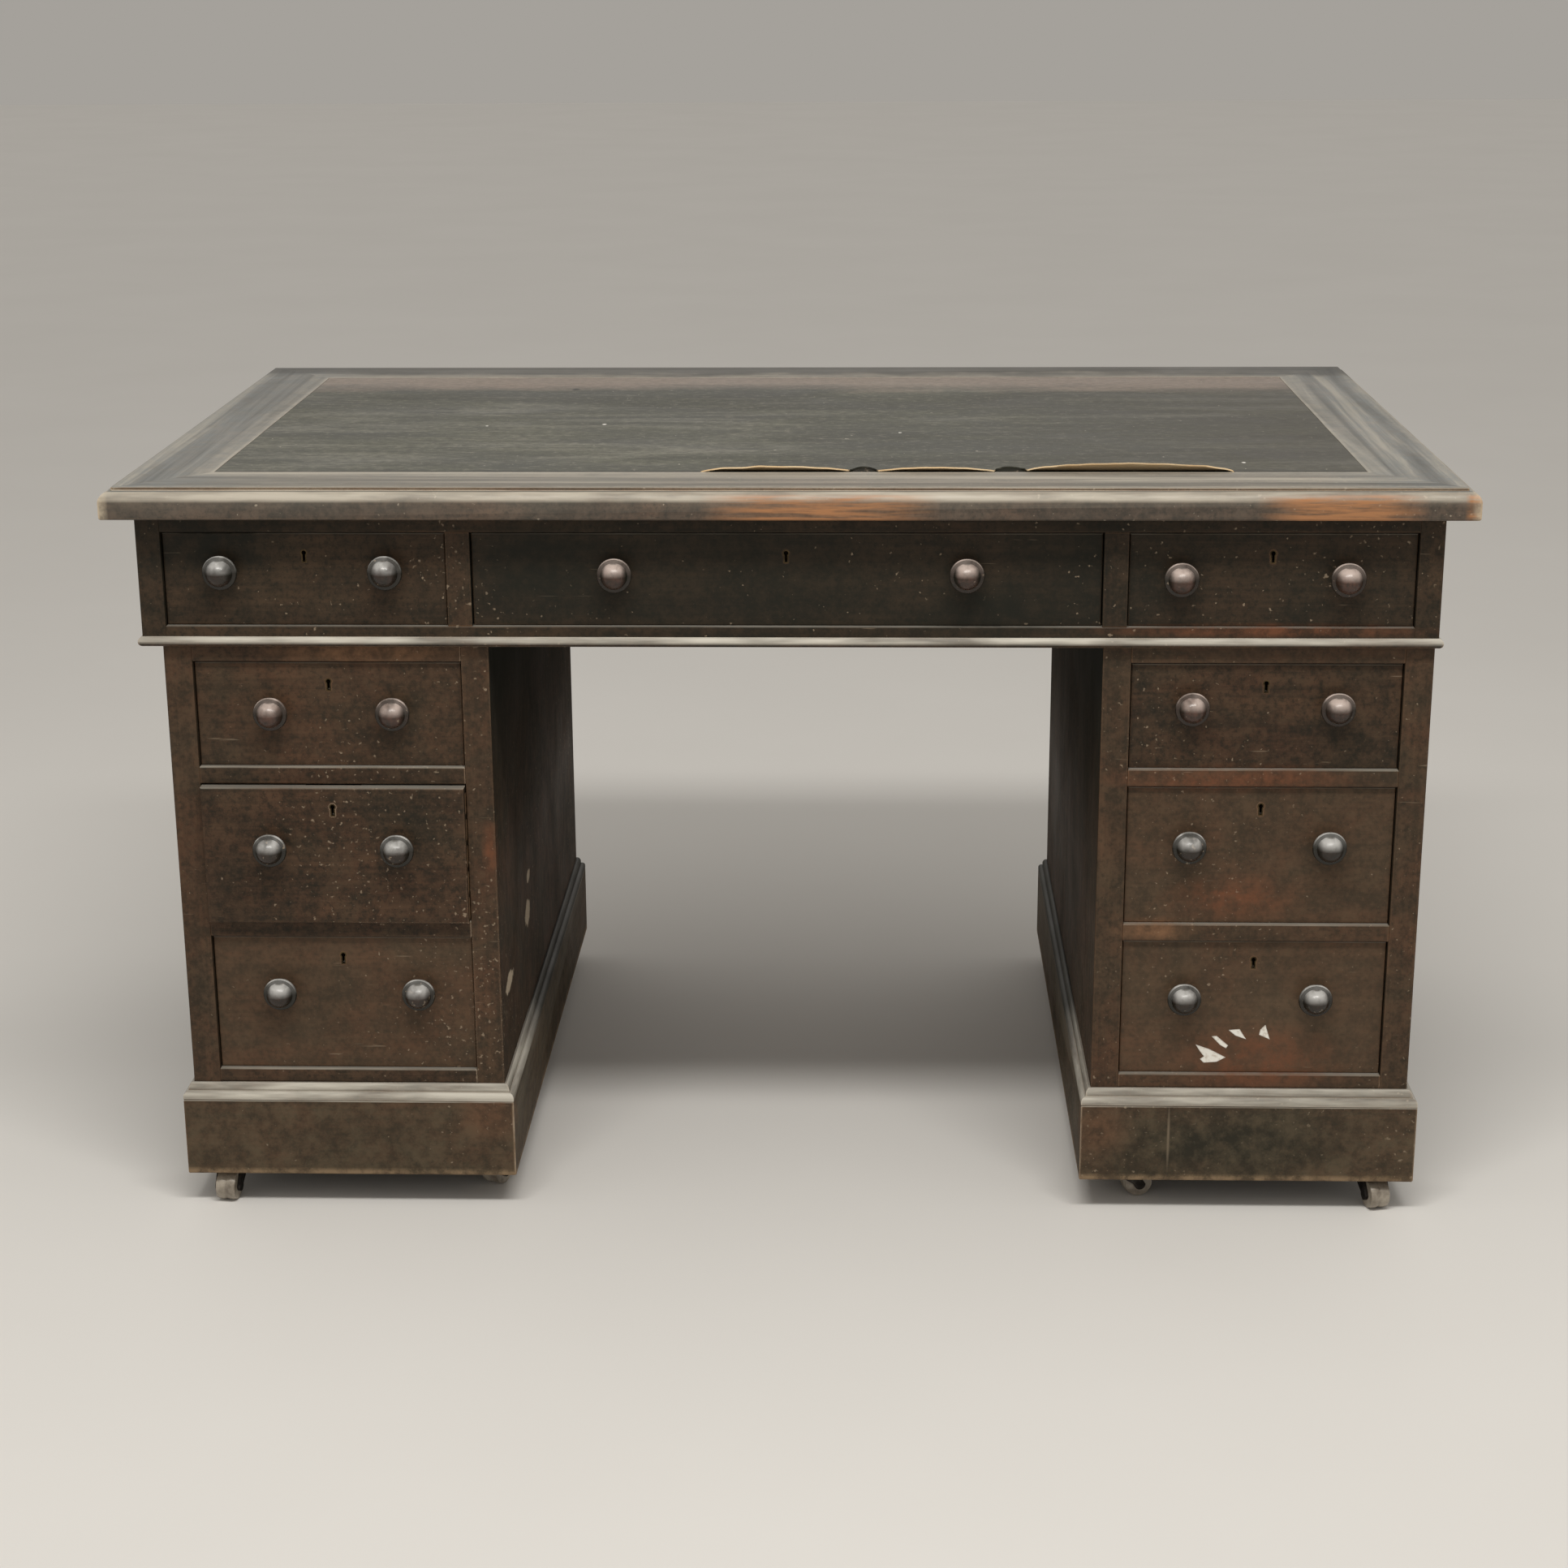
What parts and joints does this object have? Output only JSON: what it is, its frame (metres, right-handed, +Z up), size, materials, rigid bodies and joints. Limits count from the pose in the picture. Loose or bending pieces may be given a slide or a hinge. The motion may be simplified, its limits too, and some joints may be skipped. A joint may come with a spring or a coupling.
{
  "type": "twin pedestal desk",
  "caption": "Dark wooden writing desk with an inset leather top, drawers in its frieze and in both pedestals, turned knobs, locks, moulded plinths and hidden casters.",
  "frame": {"origin": "on the floor under the middle of the desk", "axes": "+X along the front to the sitter's right, +Y to the back, +Z up; drawers open towards -Y"},
  "size_m": [1.32, 0.8045, 0.76],
  "materials": {
    "stained_wood": "old dark stain, worn satin",
    "turned_wood": "dark stain, hand polished",
    "leather": "worn, dull",
    "lock_brass": "tarnished",
    "bolt_steel": "dull",
    "caster_iron": "oxidised",
    "wheel_china": "worn, grimy glaze"
  },
  "bodies": {
    "desk": {"writing_top": "stained_wood", "leather_skiver": "leather", "frieze_carcase": "stained_wood", "left_pedestal_carcase": "stained_wood", "right_pedestal_carcase": "stained_wood", "left_plinth": "stained_wood", "right_plinth": "stained_wood", "caster_plates": "caster_iron"},
    "left_frieze_drawer": {"left_frieze_drawer_box": "stained_wood", "left_frieze_drawer_knobs": "turned_wood", "left_frieze_drawer_lock": "lock_brass"},
    "left_frieze_lock_bolt": {"left_frieze_lock_bolt": "bolt_steel"},
    "centre_frieze_drawer": {"centre_frieze_drawer_box": "stained_wood", "centre_frieze_drawer_knobs": "turned_wood", "centre_frieze_drawer_lock": "lock_brass"},
    "centre_frieze_lock_bolt": {"centre_frieze_lock_bolt": "bolt_steel"},
    "right_frieze_drawer": {"right_frieze_drawer_box": "stained_wood", "right_frieze_drawer_knobs": "turned_wood", "right_frieze_drawer_lock": "lock_brass"},
    "right_frieze_lock_bolt": {"right_frieze_lock_bolt": "bolt_steel"},
    "left_top_drawer": {"left_top_drawer_box": "stained_wood", "left_top_drawer_knobs": "turned_wood", "left_top_drawer_lock": "lock_brass"},
    "left_top_lock_bolt": {"left_top_lock_bolt": "bolt_steel"},
    "left_middle_drawer": {"left_middle_drawer_box": "stained_wood", "left_middle_drawer_knobs": "turned_wood", "left_middle_drawer_lock": "lock_brass"},
    "left_middle_lock_bolt": {"left_middle_lock_bolt": "bolt_steel"},
    "left_bottom_drawer": {"left_bottom_drawer_box": "stained_wood", "left_bottom_drawer_knobs": "turned_wood", "left_bottom_drawer_lock": "lock_brass"},
    "left_bottom_lock_bolt": {"left_bottom_lock_bolt": "bolt_steel"},
    "right_top_drawer": {"right_top_drawer_box": "stained_wood", "right_top_drawer_knobs": "turned_wood", "right_top_drawer_lock": "lock_brass"},
    "right_top_lock_bolt": {"right_top_lock_bolt": "bolt_steel"},
    "right_middle_drawer": {"right_middle_drawer_box": "stained_wood", "right_middle_drawer_knobs": "turned_wood", "right_middle_drawer_lock": "lock_brass"},
    "right_middle_lock_bolt": {"right_middle_lock_bolt": "bolt_steel"},
    "right_bottom_drawer": {"right_bottom_drawer_box": "stained_wood", "right_bottom_drawer_knobs": "turned_wood", "right_bottom_drawer_lock": "lock_brass"},
    "right_bottom_lock_bolt": {"right_bottom_lock_bolt": "bolt_steel"},
    "left_front_outer_caster": {"left_front_outer_caster_horn": "caster_iron"},
    "left_front_outer_wheel": {"left_front_outer_caster_wheel": "wheel_china"},
    "left_front_inner_caster": {"left_front_inner_caster_horn": "caster_iron"},
    "left_front_inner_wheel": {"left_front_inner_caster_wheel": "wheel_china"},
    "left_back_outer_caster": {"left_back_outer_caster_horn": "caster_iron"},
    "left_back_outer_wheel": {"left_back_outer_caster_wheel": "wheel_china"},
    "left_back_inner_caster": {"left_back_inner_caster_horn": "caster_iron"},
    "left_back_inner_wheel": {"left_back_inner_caster_wheel": "wheel_china"},
    "right_front_outer_caster": {"right_front_outer_caster_horn": "caster_iron"},
    "right_front_outer_wheel": {"right_front_outer_caster_wheel": "wheel_china"},
    "right_front_inner_caster": {"right_front_inner_caster_horn": "caster_iron"},
    "right_front_inner_wheel": {"right_front_inner_caster_wheel": "wheel_china"},
    "right_back_outer_caster": {"right_back_outer_caster_horn": "caster_iron"},
    "right_back_outer_wheel": {"right_back_outer_caster_wheel": "wheel_china"},
    "right_back_inner_caster": {"right_back_inner_caster_horn": "caster_iron"},
    "right_back_inner_wheel": {"right_back_inner_caster_wheel": "wheel_china"}
  },
  "joints": [
    {"name": "left_frieze_drawer_slide", "type": "slide", "parent": "desk", "child": "left_frieze_drawer", "axis": [0, -1, 0], "range_m": [0, 0.4]},
    {"name": "centre_frieze_drawer_slide", "type": "slide", "parent": "desk", "child": "centre_frieze_drawer", "axis": [0, -1, 0], "range_m": [0, 0.4]},
    {"name": "right_frieze_drawer_slide", "type": "slide", "parent": "desk", "child": "right_frieze_drawer", "axis": [0, -1, 0], "range_m": [0, 0.4]},
    {"name": "left_top_drawer_slide", "type": "slide", "parent": "desk", "child": "left_top_drawer", "axis": [0, -1, 0], "range_m": [0, 0.4]},
    {"name": "left_middle_drawer_slide", "type": "slide", "parent": "desk", "child": "left_middle_drawer", "axis": [0, -1, 0], "range_m": [-0.014, 0.386]},
    {"name": "left_bottom_drawer_slide", "type": "slide", "parent": "desk", "child": "left_bottom_drawer", "axis": [0, -1, 0], "range_m": [0, 0.4]},
    {"name": "right_top_drawer_slide", "type": "slide", "parent": "desk", "child": "right_top_drawer", "axis": [0, -1, 0], "range_m": [0, 0.4]},
    {"name": "right_middle_drawer_slide", "type": "slide", "parent": "desk", "child": "right_middle_drawer", "axis": [0, -1, 0], "range_m": [0, 0.4]},
    {"name": "right_bottom_drawer_slide", "type": "slide", "parent": "desk", "child": "right_bottom_drawer", "axis": [0, -1, 0], "range_m": [0, 0.4]},
    {"name": "left_front_outer_swivel", "type": "hinge", "parent": "desk", "child": "left_front_outer_caster", "pos_m": [-0.585, -0.337, 0.05], "axis": [0, 0, 1], "continuous": true},
    {"name": "left_front_inner_swivel", "type": "hinge", "parent": "desk", "child": "left_front_inner_caster", "pos_m": [-0.323, -0.337, 0.05], "axis": [0, 0, 1], "continuous": true},
    {"name": "left_back_outer_swivel", "type": "hinge", "parent": "desk", "child": "left_back_outer_caster", "pos_m": [-0.585, 0.337, 0.05], "axis": [0, 0, 1], "continuous": true},
    {"name": "left_back_inner_swivel", "type": "hinge", "parent": "desk", "child": "left_back_inner_caster", "pos_m": [-0.323, 0.337, 0.05], "axis": [0, 0, 1], "continuous": true},
    {"name": "right_front_outer_swivel", "type": "hinge", "parent": "desk", "child": "right_front_outer_caster", "pos_m": [0.601, -0.337, 0.05], "axis": [0, 0, 1], "continuous": true},
    {"name": "right_front_inner_swivel", "type": "hinge", "parent": "desk", "child": "right_front_inner_caster", "pos_m": [0.339, -0.337, 0.05], "axis": [0, 0, 1], "continuous": true},
    {"name": "right_back_outer_swivel", "type": "hinge", "parent": "desk", "child": "right_back_outer_caster", "pos_m": [0.601, 0.337, 0.05], "axis": [0, 0, 1], "continuous": true},
    {"name": "right_back_inner_swivel", "type": "hinge", "parent": "desk", "child": "right_back_inner_caster", "pos_m": [0.339, 0.337, 0.05], "axis": [0, 0, 1], "continuous": true},
    {"name": "left_front_outer_roll", "type": "hinge", "parent": "left_front_outer_caster", "child": "left_front_outer_wheel", "pos_m": [-0.58751, -0.36087, 0.015], "axis": [0.9945, -0.1045, 0], "continuous": true},
    {"name": "left_front_inner_roll", "type": "hinge", "parent": "left_front_inner_caster", "child": "left_front_inner_wheel", "pos_m": [-0.31173, -0.31581, 0.015], "axis": [-0.8829, 0.4695, 0], "continuous": true},
    {"name": "left_back_outer_roll", "type": "hinge", "parent": "left_back_outer_caster", "child": "left_back_outer_wheel", "pos_m": [-0.58001, 0.31352, 0.015], "axis": [0.9781, 0.2079, 0], "continuous": true},
    {"name": "left_back_inner_roll", "type": "hinge", "parent": "left_back_inner_caster", "child": "left_back_inner_wheel", "pos_m": [-0.33677, 0.31734, 0.015], "axis": [0.8192, -0.5736, 0], "continuous": true},
    {"name": "right_front_outer_roll", "type": "hinge", "parent": "right_front_outer_caster", "child": "right_front_outer_wheel", "pos_m": [0.60681, -0.36029, 0.015], "axis": [0.9703, 0.2419, 0], "continuous": true},
    {"name": "right_front_inner_roll", "type": "hinge", "parent": "right_front_inner_caster", "child": "right_front_inner_wheel", "pos_m": [0.36218, -0.33079, 0.015], "axis": [-0.2588, 0.9659, 0], "continuous": true},
    {"name": "right_back_outer_roll", "type": "hinge", "parent": "right_back_outer_caster", "child": "right_back_outer_wheel", "pos_m": [0.59479, 0.31382, 0.015], "axis": [0.9659, -0.2588, 0], "continuous": true},
    {"name": "right_back_inner_roll", "type": "hinge", "parent": "right_back_inner_caster", "child": "right_back_inner_wheel", "pos_m": [0.35443, 0.31861, 0.015], "axis": [0.766, 0.6428, 0], "continuous": true},
    {"name": "left_frieze_lock_bolt_slide", "type": "slide", "parent": "left_frieze_drawer", "child": "left_frieze_lock_bolt", "axis": [0, 0, 1], "range_m": [0, 0.007]},
    {"name": "centre_frieze_lock_bolt_slide", "type": "slide", "parent": "centre_frieze_drawer", "child": "centre_frieze_lock_bolt", "axis": [0, 0, 1], "range_m": [0, 0.007]},
    {"name": "right_frieze_lock_bolt_slide", "type": "slide", "parent": "right_frieze_drawer", "child": "right_frieze_lock_bolt", "axis": [0, 0, 1], "range_m": [0, 0.007]},
    {"name": "left_top_lock_bolt_slide", "type": "slide", "parent": "left_top_drawer", "child": "left_top_lock_bolt", "axis": [0, 0, 1], "range_m": [0, 0.007]},
    {"name": "left_middle_lock_bolt_slide", "type": "slide", "parent": "left_middle_drawer", "child": "left_middle_lock_bolt", "axis": [0, 0, 1], "range_m": [0, 0.007]},
    {"name": "left_bottom_lock_bolt_slide", "type": "slide", "parent": "left_bottom_drawer", "child": "left_bottom_lock_bolt", "axis": [0, 0, 1], "range_m": [0, 0.007]},
    {"name": "right_top_lock_bolt_slide", "type": "slide", "parent": "right_top_drawer", "child": "right_top_lock_bolt", "axis": [0, 0, 1], "range_m": [0, 0.007]},
    {"name": "right_middle_lock_bolt_slide", "type": "slide", "parent": "right_middle_drawer", "child": "right_middle_lock_bolt", "axis": [0, 0, 1], "range_m": [0, 0.007]},
    {"name": "right_bottom_lock_bolt_slide", "type": "slide", "parent": "right_bottom_drawer", "child": "right_bottom_lock_bolt", "axis": [0, 0, 1], "range_m": [0, 0.007]}
  ]
}
